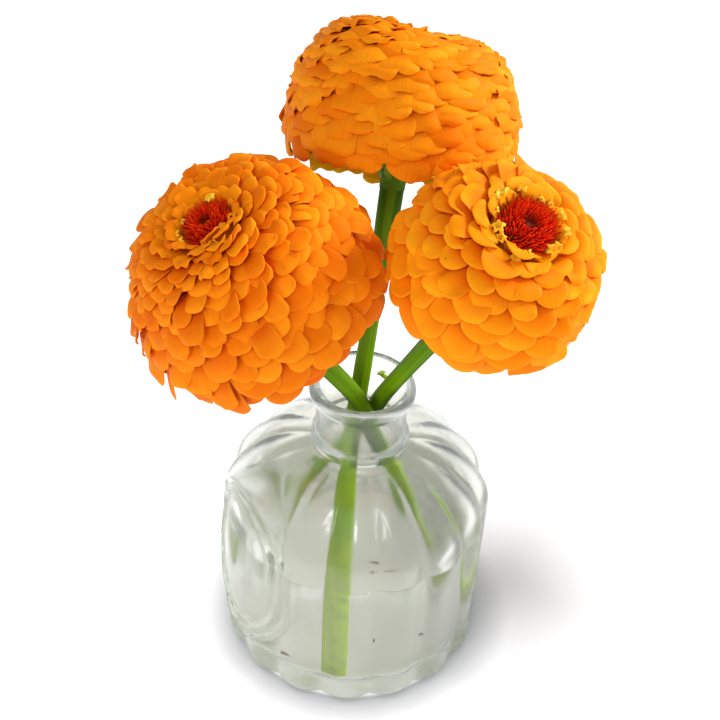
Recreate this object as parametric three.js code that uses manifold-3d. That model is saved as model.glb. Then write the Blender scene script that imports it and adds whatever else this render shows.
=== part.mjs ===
// Three double zinnias standing in a small pressed-glass vase with water.
// Millimetres, +Z up, origin at the centre of the vase's flat underside, -Y towards the front.
import * as THREE from 'three';
import { mergeVertices } from 'three/addons/utils/BufferGeometryUtils.js';
import Module from 'manifold-3d';

const wasm = await Module();
wasm.setup();

// ---- Vase ----
const LOBES = 16;               // convex flutes round the body
const LOBE_STEPS = 4;           // facets across one flute
const BODY_RADIUS = 40.2;       // over the crests of the flutes
const FLUTE_DEPTH = 2.0;        // crest to valley at the body's widest
const FOOT_RADIUS = 40.6;
const WALL = 3.8;
const FLOOR = 5.5;              // thickness of glass under the water
const HEIGHT = 96.4;
const NECK_RADIUS = 13.2;
const LIP_RADIUS = 15.6;
const MOUTH_RADIUS = 11.5;
const NECK_BASE = 75.4;           // height where the shoulder meets the neck's collar
const SHOULDER_TALL = 22;
const COLLAR = 4.5;             // height of the collar round the foot of the neck
const PLAQUE_AZIMUTH = -60;     // degrees from the front, towards -X
const PLAQUE_HALF = [24.5, 28]; // half width and half height of the oval plaque
const PLAQUE_HEIGHT = 40;       // height of the plaque's centre
const PLAQUE_RADIUS = 42.2;     // its curved face, a little proud of the flutes
const WATER_LEVEL = 44.5;
const FIT = 0.3;                // clearance left between pieces that touch

// ---- Stems and heads ----
const STEM_RADIUS = 2.5;
const STEM_SIDES = 10;
const STEM_STEP = 7;            // length of one facet along a stem
const PETAL = 0.65;             // thickness of a row of petals
const LAP = 0.85;              // clearance between a row and the row it lies on
const ROW_STEPS = 24;           // facets round a row: a tip and a notch in turn
const CALYX_DEPTH = 11;         // from the lowest petals down to the stem

const GLASS = { color: 0xdfe8e2, roughness: 0.05, metalness: 0 };
const WATER = { color: 0xe8efe6, roughness: 0.02, metalness: 0 };
const STEM_GREEN = { color: 0x6f9a22, roughness: 0.6, metalness: 0 };
const BRACT_GREEN = { color: 0x5d7a2a, roughness: 0.7, metalness: 0 };
const CORE_GREEN = { color: 0x9fa85a, roughness: 0.8, metalness: 0 };
const DISC_RED = { color: 0xa81f0c, roughness: 0.8, metalness: 0 };

// Each flower: its head's widest radius, the centre and axis of the head, the radius of its
// disc, its outline as fractions of the radius from the lowest tips up to the disc, the
// number of rows of petals, and the way its stem takes from the vase floor to the lip.
const FLOWERS = [
  {
    name: 'left', color: 0xf58410, radius: 33, rows: 9, discRadius: 5.6,
    centre: [-27.6, -17.0, 139.6], axis: [-0.441, -0.235, 0.866],
    outline: [[0.80, -0.42], [0.97, -0.2], [1.0, 0.06], [0.94, 0.4], [0.76, 0.68], [0.5, 0.84]],
    stem: [[27.6, 8.6, 7.4], [15.6, 0.2, 50], [4.4, -4.9, 80], [-1.9, -6.2, 96]],
  },
  {
    name: 'right', color: 0xfba01e, radius: 26.5, rows: 7, discRadius: 6.4,
    centre: [30.3, -26.1, 156.0], axis: [0.289, -0.36, 0.887],
    outline: [[0.84, -0.36], [0.98, -0.18], [1.0, 0.06], [0.94, 0.38], [0.78, 0.63], [0.55, 0.78]],
    stem: [[-24.0, 19.0, 7.4], [-12.2, 11.2, 50], [1.9, 3.6, 80], [7.3, -2.0, 96]],
  },
  {
    name: 'back', color: 0xf79a12, radius: 31.5, rows: 10, discRadius: 5.4,
    centre: [6.3, 26.8, 164.1], axis: [0.09, 0.42, 0.903],
    outline: [[0.86, -0.37], [0.98, -0.18], [1.0, 0.05], [0.95, 0.35], [0.82, 0.6], [0.58, 0.79]],
    stem: [[-3.4, -31.0, 7.6], [-3.4, -17.2, 50], [-2.3, -2.7, 80], [-0.6, 1.9, 96]],
  },
];

const group = new THREE.Group();

function addMesh(name, geometry, finish) {
  geometry.computeVertexNormals();
  const mesh = new THREE.Mesh(geometry, new THREE.MeshStandardMaterial(finish));
  mesh.name = name;
  group.add(mesh);
  return mesh;
}

// A closed geometry as a manifold solid, for joins and cuts.
function solid(geometry) {
  const bare = geometry.clone();
  bare.deleteAttribute('normal');
  bare.deleteAttribute('uv');
  const merged = mergeVertices(bare, 1e-4);
  return new wasm.Manifold(new wasm.Mesh({
    numProp: 3,
    vertProperties: Float32Array.from(merged.attributes.position.array),
    triVerts: Uint32Array.from(merged.index.array),
  }));
}

function fromSolid(manifold) {
  const mesh = manifold.getMesh();
  const geometry = new THREE.BufferGeometry();
  geometry.setAttribute('position', new THREE.BufferAttribute(mesh.vertProperties, 3));
  geometry.setIndex(new THREE.BufferAttribute(mesh.triVerts, 1));
  return geometry;
}

// A turned shape about Z from a profile of [radius, height], listed from the bottom up.
function turned(profile, steps) {
  const points = profile.map(([radius, height]) => new THREE.Vector2(radius, height));
  return new THREE.LatheGeometry(points, steps).rotateX(Math.PI / 2);
}

// ---- Vase ----

// Depth of the flutes at a height: none on the neck, full on the body, less at the foot.
function fluteDepth(height) {
  const shoulder = THREE.MathUtils.smoothstep(NECK_BASE - height, 0, 14);
  return FLUTE_DEPTH * shoulder;
}

// Rounded flutes with narrow valleys: every vertex is drawn in by its place across a flute.
function flute(geometry) {
  const position = geometry.attributes.position;
  for (let i = 0; i < position.count; i++) {
    const [x, y, z] = [position.getX(i), position.getY(i), position.getZ(i)];
    const radius = Math.hypot(x, y);
    if (radius < NECK_RADIUS + 0.5) continue;
    const across = Math.abs(Math.cos(Math.atan2(x, -y) * LOBES / 2));
    const scale = 1 - fluteDepth(z) * (1 - across) / radius;
    position.setXY(i, x * scale, y * scale);
  }
  return geometry;
}

// The shoulder is a slightly flattened quarter of an oval, from the body's side to the collar.
// The inset draws it in for the wall of the cavity.
function shoulder(inset, steps) {
  const narrow = NECK_RADIUS + 0.4 - inset * 0.2;
  const wide = BODY_RADIUS - inset - narrow;
  return Array.from({ length: steps + 1 }, (_, i) => {
    const turn = (i / steps) * Math.PI / 2;
    const out = Math.cos(turn) ** 1.2;
    const up = Math.sin(turn) ** 1.2;
    return [
      narrow + wide * (i === steps ? 0 : out),
      NECK_BASE - SHOULDER_TALL + (SHOULDER_TALL - inset) * up,
    ];
  });
}

function vaseOutside() {
  return turned([
    [0, 0], [FOOT_RADIUS - 2.4, 0], [FOOT_RADIUS - 0.3, 1.4], [FOOT_RADIUS, 4],
    [BODY_RADIUS, 12], [BODY_RADIUS, 34],
    ...shoulder(0, 6),
    [NECK_RADIUS + 1.2, NECK_BASE + 1.2], [NECK_RADIUS + 1.2, NECK_BASE + COLLAR - 1.2],
    [NECK_RADIUS, NECK_BASE + COLLAR], [NECK_RADIUS, HEIGHT - 5.4],
    [LIP_RADIUS - 1, HEIGHT - 4.4], [LIP_RADIUS, HEIGHT - 2.8], [LIP_RADIUS - 0.5, HEIGHT - 0.7],
    [LIP_RADIUS - 1.6, HEIGHT], [0, HEIGHT],
  ], LOBES * LOBE_STEPS);
}

const CAVITY_SIDE = [
  [0, FLOOR], [28, FLOOR], [33, FLOOR + 1.6], [BODY_RADIUS - WALL - 0.6, FLOOR + 5],
  [BODY_RADIUS - WALL, FLOOR + 10],
];

function vaseCavity() {
  return turned([
    ...CAVITY_SIDE, ...shoulder(WALL, 5),
    [MOUTH_RADIUS, NECK_BASE - 1.5], [MOUTH_RADIUS, HEIGHT - 1.4],
    [MOUTH_RADIUS + 1, HEIGHT + 0.5], [0, HEIGHT + 0.5],
  ], 40);
}

// The oval plaque: an elliptical block set radially and rounded off by an upright cylinder.
function plaque() {
  const oval = new THREE.Shape().absellipse(0, 0, PLAQUE_HALF[0], PLAQUE_HALF[1], 0, Math.PI * 2);
  const block = new THREE.ExtrudeGeometry(oval, { depth: 40, bevelEnabled: false, curveSegments: 24 });
  block.rotateX(Math.PI / 2).translate(0, -12, PLAQUE_HEIGHT);
  const face = turned([[0, 5], [PLAQUE_RADIUS, 5], [PLAQUE_RADIUS, 78], [0, 78]], 96);
  block.rotateZ(THREE.MathUtils.degToRad(PLAQUE_AZIMUTH));
  return solid(block).intersect(solid(face));
}

const cavity = solid(vaseCavity());
const vase = solid(flute(vaseOutside())).add(plaque()).subtract(cavity);
addMesh('vase', fromSolid(vase), GLASS);

// ---- Stems ----

function headPoint(flower, along) {
  const axis = new THREE.Vector3(...flower.axis).normalize();
  return new THREE.Vector3(...flower.centre).addScaledVector(axis, along);
}

// Height of the stem's end on the head's axis, below the head's centre.
function stemEnd(flower) {
  return flower.outline[0][1] * flower.radius * 0.5 - CALYX_DEPTH - FIT;
}

function stemCurve(flower) {
  const end = stemEnd(flower);
  const points = flower.stem.map((point) => new THREE.Vector3(...point));
  return new THREE.CatmullRomCurve3([
    ...points, headPoint(flower, end - 9), headPoint(flower, end)], false, 'centripetal');
}

function tube(curve, radius) {
  const ring = new THREE.Shape();
  for (let i = 0; i < STEM_SIDES; i++) {
    const turn = (i / STEM_SIDES) * Math.PI * 2;
    ring[i ? 'lineTo' : 'moveTo'](radius * Math.cos(turn), radius * Math.sin(turn));
  }
  ring.closePath();
  const steps = Math.round(curve.getLength() / STEM_STEP);
  return new THREE.ExtrudeGeometry(ring, { steps, extrudePath: curve, bevelEnabled: false });
}

for (const flower of FLOWERS) {
  addMesh(`stem_${flower.name}`, tube(stemCurve(flower), STEM_RADIUS), STEM_GREEN);
}

// ---- Water: fills the cavity up to its level, with room round each stem ----

function water() {
  const inner = CAVITY_SIDE.map(([radius, height]) => [Math.max(radius - FIT, 0), height + FIT]);
  const [wall] = inner[inner.length - 1];
  const body = solid(turned([...inner, [wall, WATER_LEVEL], [0, WATER_LEVEL]], 40));
  return FLOWERS.reduce((rest, flower) => {
    const foot = new THREE.Vector3(...flower.stem[0]);
    const knee = new THREE.Vector3(...flower.stem[1]);
    const below = foot.clone().addScaledVector(knee.sub(foot).normalize(), -3);
    const upper = stemCurve(flower).getPoints(60).filter((point) => point.z < WATER_LEVEL + 12);
    const path = new THREE.CatmullRomCurve3([below, ...upper]);
    return rest.subtract(solid(tube(path, STEM_RADIUS + FIT + 0.15)));
  }, body);
}

addMesh('water', fromSolid(water()), WATER);

// ---- Heads ----

// Sets a geometry that is made about the origin, +Z up, on the head's centre and axis.
function placeOnHead(flower, geometry) {
  const axis = new THREE.Vector3(...flower.axis).normalize();
  const turn = new THREE.Quaternion().setFromUnitVectors(new THREE.Vector3(0, 0, 1), axis);
  return geometry.applyQuaternion(turn).translate(...flower.centre);
}

// The head's outline as a curve from the lowest tips to the rim of the disc.
function outlineCurve(flower) {
  const points = flower.outline.map(([r, z]) => new THREE.Vector2(r, z).multiplyScalar(flower.radius));
  const top = points[points.length - 1];
  points.push(new THREE.Vector2(flower.discRadius + 1.6, top.y + 0.4));
  return new THREE.SplineCurve(points);
}

// The receptacle is the cone that carries the petals; this is its radius at a height.
function coneRadius(flower, height) {
  const [low, high] = coneEnds(flower);
  const base = flower.radius * 0.24;
  return THREE.MathUtils.mapLinear(height, low, high, base, flower.discRadius - 1.2);
}

function coneEnds(flower) {
  const top = flower.outline[flower.outline.length - 1][1] * flower.radius;
  return [flower.outline[0][1] * flower.radius * 0.5, top - 3.2];
}

function receptacle(flower) {
  const [low, high] = coneEnds(flower);
  return turned([
    [0, low], [coneRadius(flower, low), low], [coneRadius(flower, high), high], [0, high]], 20);
}

function calyx(flower) {
  const [top] = coneEnds(flower);
  const wide = coneRadius(flower, top) + 1.2;
  const end = top - CALYX_DEPTH;
  return turned([
    [0, end], [STEM_RADIUS + 0.4, end], [STEM_RADIUS + 1.4, end + 2.2], [wide * 0.86, end + 5],
    [wide, top - 2.6], [wide * 0.96, top - FIT], [0, top - FIT]], 20);
}

function disc(flower) {
  const [, low] = coneEnds(flower);
  const radius = flower.discRadius;
  return turned([
    [0, low + FIT], [radius * 0.7, low + FIT], [radius, low + 2.2], [radius * 0.86, low + 4.6],
    [radius * 0.45, low + 6], [0, low + 6.3]], 16);
}

// The section of one row of petals: from the receptacle out to a bend under the row above,
// then along the head's outline to the tip. Returned as a centre line of three points.
function rowLine(flower, row, drawnBack) {
  const curve = outlineCurve(flower);
  const pitch = 1 / (flower.rows + 0.35);
  const reach = pitch * 1.45;
  const tipAt = row * pitch + drawnBack * pitch * 0.55;
  const bendAt = Math.min(row * pitch + reach, 1);
  const sink = (PETAL + LAP) * (bendAt - row * pitch) / pitch;
  const inward = (at, depth) => {
    const tangent = curve.getTangentAt(at);
    return curve.getPointAt(at).add(new THREE.Vector2(-tangent.y, tangent.x).multiplyScalar(depth));
  };
  const [low, high] = coneEnds(flower);
  const seat = THREE.MathUtils.lerp(low + 0.8, high - 0.6, row / (flower.rows - 1));
  return [
    new THREE.Vector2(coneRadius(flower, seat) + FIT + PETAL * 0.2, seat),
    inward(bendAt, sink),
    inward(tipAt, (PETAL + LAP) * drawnBack * 0.55),
  ];
}

// The closed section: the centre line thickened to both sides.
function rowSection(flower, row, drawnBack) {
  const line = rowLine(flower, row, drawnBack);
  const run = line[1].clone().sub(line[0]).normalize();
  const fall = line[2].clone().sub(line[1]).normalize();
  const bend = run.clone().add(fall).normalize();
  const side = (way) => new THREE.Vector2(-way.y, way.x).multiplyScalar(PETAL / 2);
  const sides = [side(run), side(bend), side(fall)];
  const upper = line.map((point, i) => point.clone().add(sides[i]));
  const lower = line.map((point, i) => point.clone().sub(sides[i]));
  return [...upper, ...lower.reverse()];
}

// A ring of petals joined side by side: its rim goes from tip to notch in turn, and the
// rows are turned by one step against each other.
function petalRow(flower, row) {
  const tip = rowSection(flower, row, 0);
  const notch = rowSection(flower, row, 1);
  const count = tip.length;
  const vertices = [];
  for (let i = 0; i < ROW_STEPS; i++) {
    const turn = (i / ROW_STEPS) * Math.PI * 2;
    const section = (i + row) % 2 ? tip : notch;
    for (const point of section) {
      vertices.push(point.x * Math.cos(turn), point.x * Math.sin(turn), point.y);
    }
  }
  const faces = [];
  for (let i = 0; i < ROW_STEPS; i++) {
    for (let j = 0; j < count; j++) {
      const a = i * count + j;
      const b = i * count + (j + 1) % count;
      const c = ((i + 1) % ROW_STEPS) * count + (j + 1) % count;
      const d = ((i + 1) % ROW_STEPS) * count + j;
      faces.push(a, b, d, b, c, d);
    }
  }
  const geometry = new THREE.BufferGeometry();
  geometry.setAttribute('position', new THREE.Float32BufferAttribute(vertices, 3));
  geometry.setIndex(faces);
  return geometry;
}

for (const flower of FLOWERS) {
  const petals = { color: flower.color, roughness: 0.75, metalness: 0 };
  addMesh(`calyx_${flower.name}`, placeOnHead(flower, calyx(flower)), BRACT_GREEN);
  addMesh(`receptacle_${flower.name}`, placeOnHead(flower, receptacle(flower)), CORE_GREEN);
  for (let row = 0; row < flower.rows; row++) {
    const name = `petals_${flower.name}_${String(row + 1).padStart(2, '0')}`;
    addMesh(name, placeOnHead(flower, petalRow(flower, row)), petals);
  }
  addMesh(`disc_${flower.name}`, placeOnHead(flower, disc(flower)), DISC_RED);
}

export default group;
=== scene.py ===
import math
import random

import bmesh
import bpy
from mathutils import Matrix, Vector


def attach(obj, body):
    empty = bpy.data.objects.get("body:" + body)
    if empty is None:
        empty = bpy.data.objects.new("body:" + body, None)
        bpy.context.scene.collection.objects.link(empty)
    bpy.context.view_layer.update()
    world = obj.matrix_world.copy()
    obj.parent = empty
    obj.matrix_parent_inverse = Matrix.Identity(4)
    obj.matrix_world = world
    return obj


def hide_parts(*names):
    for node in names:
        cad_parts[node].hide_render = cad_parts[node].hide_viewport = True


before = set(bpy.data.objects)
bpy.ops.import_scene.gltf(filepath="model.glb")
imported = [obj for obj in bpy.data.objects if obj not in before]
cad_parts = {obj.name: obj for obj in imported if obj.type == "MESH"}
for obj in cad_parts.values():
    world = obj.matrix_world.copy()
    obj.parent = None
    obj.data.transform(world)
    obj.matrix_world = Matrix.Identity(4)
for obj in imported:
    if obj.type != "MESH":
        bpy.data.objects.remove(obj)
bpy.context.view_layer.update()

scene = bpy.context.scene

# ---- Camera ----
# A standing viewer's look down at flowers on a table, with a slight tilt of the head.
CAMERA_AIM = Vector((-0.0012, 0, 0.1043))
CAMERA_DISTANCE = 0.380
CAMERA_ABOVE = math.radians(39.4)
CAMERA_ROLL = math.radians(3.25)

camera = bpy.data.objects.new("camera", bpy.data.cameras.new("camera"))
camera.data.sensor_width = 36
camera.data.lens = 67.55
camera.data.clip_start = 0.01
camera.matrix_world = (
    Matrix.Translation(CAMERA_AIM)
    @ Matrix.Rotation(math.pi / 2 - CAMERA_ABOVE, 4, "X")
    @ Matrix.Rotation(CAMERA_ROLL, 4, "Z")
    @ Matrix.Translation((0, 0, CAMERA_DISTANCE))
)
scene.collection.objects.link(camera)
scene.camera = camera
scene.view_settings.view_transform = "Standard"

# ---- Floor and light ----
# A white table in a bright even room, with painted shade round the vase's foot. A high
# softbox leaves a soft shadow to the right; others light the heads from the right and the
# front left and the stems from low down, and a narrow one behind the viewer is the window
# that shines in the glass.
ROOM_DIM, ROOM_BRIGHT = 0.55, 1.15     # as it lights, and as it is seen through glass
MATT_LOSS = 0.5        # how much of that rise each matt surface on the way takes off
TABLE_WHITE, TABLE_PALE, TABLE_PAINTED_SHADE = (0.9, 0.9, 0.9), (0.93, 0.93, 0.93), (0.24, 0.24, 0.25)
SHADE_REACH, SHADE_FULL = 0.014, 0.9   # of the painted shade round the vase's foot
FOOT_EDGE = (0.0360, 0.0378)           # there is none nearer to the vase's axis
FLOOR_HALF = 4.0
FLOOR_DROP = 0.00005   # keeps it clear of the vase's underside


class Wire:
    """One output of a node in a material, with the arithmetic that the finishes use."""

    def __init__(self, finish, socket):
        self.finish, self.socket = finish, socket

    def math(self, operation, *values):
        return self.finish.node("ShaderNodeMath", values, operation=operation)

    def __add__(self, other):
        return self.math("ADD", self, other)

    def __rsub__(self, other):
        return self.math("SUBTRACT", other, self)

    def __mul__(self, other):
        return self.math("MULTIPLY", self, other)

    def __pow__(self, other):
        return self.math("POWER", self, other)

    __radd__, __rmul__ = __add__, __mul__

    def step(self, low, high):
        """0 below low, 1 above high, and a smooth rise between them."""
        return self.finish.node(
            "ShaderNodeMapRange", {"Value": self, "From Min": low, "From Max": high},
            interpolation_type="SMOOTHSTEP")

    def size(self):
        return self.math("ABSOLUTE", self)

    def larger(self, other):
        return self.math("MAXIMUM", self, other)


class Finish:
    """A material that is built up node by node round one Principled shader."""

    def __init__(self, name, **constants):
        self.material = bpy.data.materials.new(name)
        self.material.use_nodes = True
        self.tree = self.material.node_tree
        self.shader = self.tree.nodes["Principled BSDF"]
        self.output = self.tree.nodes["Material Output"]
        for socket, value in constants.items():
            self.shader.inputs[socket.replace("_", " ")].default_value = value

    def node(self, kind, sockets=(), out=0, **settings):
        """A node with its settings, then the values or wires of its sockets."""
        made = self.tree.nodes.new(kind)
        for name, value in settings.items():
            if name == "stops":
                ramp = made.color_ramp.elements
                while len(ramp) < len(value):
                    ramp.new(0.5)
                for stop, (place, color) in zip(ramp, value):
                    stop.position, stop.color = place, (*color, 1)
            else:
                setattr(made, name, value)
        pairs = sockets.items() if isinstance(sockets, dict) else enumerate(sockets)
        for name, value in pairs:
            self.join(value, made.inputs[name])
        return Wire(self, made.outputs[out])

    def join(self, value, socket):
        if isinstance(value, Wire):
            self.tree.links.new(value.socket, socket)
        elif socket.type == "RGBA" and len(value) == 3:
            socket.default_value = (*value, 1)
        else:
            socket.default_value = value

    def place(self, scale=(1, 1, 1)):
        """Object coordinates, stretched by a scale for each axis."""
        coordinates = self.node("ShaderNodeTexCoord", out="Object")
        return self.node("ShaderNodeMapping", {"Vector": coordinates, "Scale": scale})

    def noise(self, vector, scale, detail):
        return self.node(
            "ShaderNodeTexNoise", {"Vector": vector, "Scale": scale, "Detail": detail})

    def mix(self, factor, one, other):
        """Two colours mixed by a factor."""
        return self.node("ShaderNodeMix", {0: factor, 6: one, 7: other}, out=2,
                         data_type="RGBA")

    def apart(self, vector):
        """The three numbers of a vector."""
        parts = self.node("ShaderNodeSeparateXYZ", [vector]).socket.node.outputs
        return [Wire(self, part) for part in parts]

    def attribute(self, name):
        """The three numbers that a mesh carries under a name."""
        return self.apart(self.node("ShaderNodeAttribute", out="Vector", attribute_name=name))

    def vector(self, *parts):
        """Three numbers as one vector."""
        return self.node("ShaderNodeCombineXYZ", parts)

    def set(self, **sockets):
        """Values or wires for the shader's sockets."""
        for name, value in sockets.items():
            self.join(value, self.shader.inputs[name.replace("_", " ")])

    def bump(self, height, distance, strength):
        self.set(Normal=self.node(
            "ShaderNodeBump", {"Height": height, "Distance": distance, "Strength": strength}))


def softbox(name, place, width, height, watts):
    """A rectangular lamp that faces the middle of the bouquet, and what it may light."""
    lamp = bpy.data.lights.new(name, "AREA")
    lamp.shape, lamp.size, lamp.size_y = "RECTANGLE", width, height
    lamp.energy = watts
    stand = bpy.data.objects.new(name, lamp)
    stand.location = place
    stand.rotation_euler = (CAMERA_AIM - stand.location).to_track_quat("-Z", "Y").to_euler()
    scene.collection.objects.link(stand)
    stand.light_linking.receiver_collection = bpy.data.collections.new(f"lit_by_{name}")
    return stand.light_linking


high_lamp = softbox("softbox_high", (-0.28, -0.60, 2.34), 0.8, 0.8, 66)
high_lamp.blocker_collection = bpy.data.collections.new("shades_the_floor")
right_lamp = softbox("softbox_right", (0.80, 0.30, 0.72), 0.45, 0.45, 14)
front_lamp = softbox("softbox_front", (-0.62, -0.82, 0.62), 0.6, 0.6, 2.7)
window_lamp = softbox("window", (0.06, -0.62, 0.86), 0.05, 0.30, 1.0)
stem_lamp = softbox("softbox_low", (-0.42, -0.72, 0.30), 0.4, 0.4, 2.0)

room = bpy.data.worlds.new("room")
room.use_nodes = True
walls = room.node_tree.nodes["Background"]
walls.inputs["Color"].default_value = (0.98, 0.99, 1, 1)
add = room.node_tree.nodes.new
ray, bright = add("ShaderNodeLightPath"), add("ShaderNodeMapRange")
through_glass, seen = add("ShaderNodeMath"), add("ShaderNodeMath")
through_glass.operation, seen.operation = "MINIMUM", "MULTIPLY_ADD"
through_glass.inputs[1].default_value, seen.inputs[1].default_value = 1, -MATT_LOSS
bright.inputs["To Min"].default_value = ROOM_DIM
bright.inputs["To Max"].default_value = ROOM_BRIGHT
for out, into in [
        (ray.outputs["Transmission Depth"], through_glass.inputs[0]),
        (ray.outputs["Diffuse Depth"], seen.inputs[0]),
        (through_glass.outputs["Value"], seen.inputs[2]),
        (seen.outputs["Value"], bright.inputs["Value"]),
        (bright.outputs["Result"], walls.inputs["Strength"])]:
    room.node_tree.links.new(out, into)
scene.world = room
scene.cycles.caustics_reflective = scene.cycles.caustics_refractive = False
scene.cycles.max_bounces = scene.cycles.transmission_bounces = 24
scene.cycles.glossy_bounces = 16
scene.cycles.diffuse_bounces = 8
scene.cycles.transparent_max_bounces = 16

table = Finish("table_white", Roughness=0.9, Specular_IOR_Level=0.2)
grain = table.noise(table.place(), 60, 4)
white = table.mix(grain, TABLE_WHITE, TABLE_PALE)
# Painted shade: the table is coloured darker where the vase's foot keeps the room's light off it
# (ambient occlusion), but not under the vase.
openness = table.node("ShaderNodeAmbientOcclusion", {"Distance": SHADE_REACH}, out="AO",
                      samples=8)
from_axis = table.node("ShaderNodeVectorMath", [table.place((1, 1, 0))], out="Value",
                       operation="LENGTH")
painted_foot_shade = (1 - openness ** 2) * from_axis.step(*FOOT_EDGE)
table.set(Base_Color=table.mix(painted_foot_shade * SHADE_FULL, white, TABLE_PAINTED_SHADE))
bm = bmesh.new()
bmesh.ops.create_grid(bm, x_segments=1, y_segments=1, size=FLOOR_HALF)
bmesh.ops.translate(bm, verts=bm.verts, vec=(0, 0, -FLOOR_DROP))
floor = bpy.data.objects.new("floor", bpy.data.meshes.new("floor"))
bm.to_mesh(floor.data)
bm.free()
floor.data.materials.append(table.material)
scene.collection.objects.link(floor)


def lamp_for(lamp, thing, state):
    """A lamp that lights only this thing, or all but this one."""
    lamp.receiver_collection.objects.link(thing)
    lamp.receiver_collection.collection_objects[-1].light_linking.link_state = state


lamp_for(high_lamp, floor, "INCLUDE")
for lamp in (right_lamp, front_lamp, window_lamp):
    lamp_for(lamp, floor, "EXCLUDE")

# ---- Vase ----
# A squat bottle of clear pressed glass: sixteen rounded flutes, a collar under the neck,
# a rolled lip, and a bare oval plaque with a raised rim on one side.
MM = 0.001
LOBES = 16
LOBE_SOFTNESS = 0.025  # rounds the groove between two flutes
FLUTE_DEPTH = 2.4      # on the shoulder
FLUTE_BODY = 1.3       # on the upright side
FLUTE_FOOT = 2.0       # round the foot
FLUTE_INSIDE = 0.75    # how far the inside follows the outside
FLUTES_DEEPEN, FOOT_BLENDS = (36, 60), (6, 22)   # heights between those three depths
FLUTES_FADE = 10       # below the neck
UNDERSIDE_TOP, UNDERSIDE_FADE = 2, (26, 37)      # its flutes run out towards the middle
INSIDE_FLOOR = 7       # the inside is plain below this
NECK_BASE, NECK_RADIUS = 75.4, 13.2
BODY_RADIUS, WALL = 40.2, 3.8
SHOULDER_TALL, SHOULDER_CURVE = 22, 1.2
PLAQUE_TURN = math.radians(-60)
PLAQUE_HALF = (24.5, 29.5)
PLAQUE_HEIGHT, PLAQUE_FIELD, PLAQUE_RIM = 40.5, 40.6, 1.1
PLAQUE_RIDGES = (1.5, 5.0)               # how far in from its edge
PLAQUE_RIDGE, PLAQUE_EDGE = (0.3, 1.6), (-1.5, 3.0)
PLAQUE_LEAN, PLAQUE_LEANS = 4.2, (42, 72)        # its top leans in with the shoulder
PLAQUE_CLEAR = (-4, 2)   # the inside has no flutes behind it
PLAQUE_MIDDLE = (PLAQUE_FIELD * math.sin(PLAQUE_TURN) * MM,
                 -PLAQUE_FIELD * math.cos(PLAQUE_TURN) * MM, PLAQUE_HEIGHT * MM)
SPIN_STEPS = 240
WELD = 0.002
CLEAR_TINT, LIP_TINT = (0.93, 0.925, 0.88), (0.80, 0.83, 0.815)
# Where the pressed glass is rougher, in metres up the vase, across it and towards the back
FOOT_ENDS, SHOULDER_STARTS = (0.006, 0.013), (0.046, 0.062)
FLANK_STARTS, FLANK_ENDS, FLANK_OUT = (0.034, 0.046), (0.070, 0.076), (0.008, 0.030)
NECK_STARTS, LIP_STARTS = (0.075, 0.080), (0.0905, 0.0920)
RIGHT_STARTS, FRONT_ENDS = (-0.006, 0.006), (-0.030, -0.018)
PLAQUE_ENDS = (0.016, 0.034)   # from the plaque's middle


def smooth(value, low, high):
    t = min(max((value - low) / (high - low), 0), 1)
    return t * t * (3 - 2 * t)


def blend(a, b, t):
    return a + (b - a) * t


def shoulder(inset, steps):
    """Part of the profile, from the body's side up to the neck."""
    narrow = NECK_RADIUS + 0.4 - inset * 0.2
    wide = BODY_RADIUS - inset - narrow
    line = []
    for i in range(steps + 1):
        turn = i / steps * math.pi / 2
        out = max(math.cos(turn), 0) ** SHOULDER_CURVE
        up = (SHOULDER_TALL - inset) * math.sin(turn) ** SHOULDER_CURVE
        line.append((narrow + wide * out, NECK_BASE - SHOULDER_TALL + up))
    return line


def softened(corners, step):
    """A profile cut into short steps, with its corners rounded off."""
    points = [Vector(corners[0])]
    for a, b in zip(corners, corners[1:]):
        a, b = Vector(a), Vector(b)
        cuts = max(1, math.ceil((b - a).length / step))
        points += [a.lerp(b, (i + 1) / cuts) for i in range(cuts)]
    for _ in range(2):
        cut = [points[0]]
        for a, b in zip(points, points[1:]):
            cut += [a.lerp(b, 0.25), a.lerp(b, 0.75)]
        points = [*cut, points[-1]]
    return points


def turn_profile(bm, points):
    """Spins a profile of radius and height once round the vase's axis."""
    before = set(bm.verts)
    line = [bm.verts.new((point.x, 0, point.y)) for point in points]
    edges = [bm.edges.new(pair) for pair in zip(line, line[1:])]
    bmesh.ops.spin(bm, geom=line + edges, cent=(0, 0, 0), axis=(0, 0, 1), dvec=(0, 0, 0),
                   angle=math.tau, steps=SPIN_STEPS, use_merge=True)
    return [v for v in bm.verts if v not in before]


def within_plaque(v):
    """How far inside the plaque's edge a point lies."""
    turn = math.atan2(v.co.x, -v.co.y) - PLAQUE_TURN
    if math.cos(turn) <= 0:
        return -9
    across = PLAQUE_FIELD * math.sin(turn) / PLAQUE_HALF[0]
    along = (v.co.z - PLAQUE_HEIGHT) / PLAQUE_HALF[1]
    return (1 - math.hypot(across, along)) * PLAQUE_HALF[0]


def press_flutes(verts, share=1.0):
    """Draws in the grooves between the flutes, and less of them on the inside."""
    for v in verts:
        radius = math.hypot(v.co.x, v.co.y)
        if radius < NECK_RADIUS + 0.5:
            continue
        depth = blend(FLUTE_BODY, FLUTE_DEPTH, smooth(v.co.z, *FLUTES_DEEPEN))
        depth = share * blend(FLUTE_FOOT, depth, smooth(v.co.z, *FOOT_BLENDS))
        depth *= smooth(NECK_BASE - v.co.z, 0, FLUTES_FADE)
        if v.co.z < UNDERSIDE_TOP:
            depth *= smooth(radius, *UNDERSIDE_FADE)
        if share < 1:
            depth *= 1 - smooth(within_plaque(v), *PLAQUE_CLEAR)
        wave = math.cos(math.atan2(v.co.x, -v.co.y) * LOBES / 2)
        across = math.sqrt(wave * wave * (1 - LOBE_SOFTNESS) + LOBE_SOFTNESS)
        scale = 1 - depth * (1 - across) / radius
        v.co.x *= scale
        v.co.y *= scale


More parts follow.
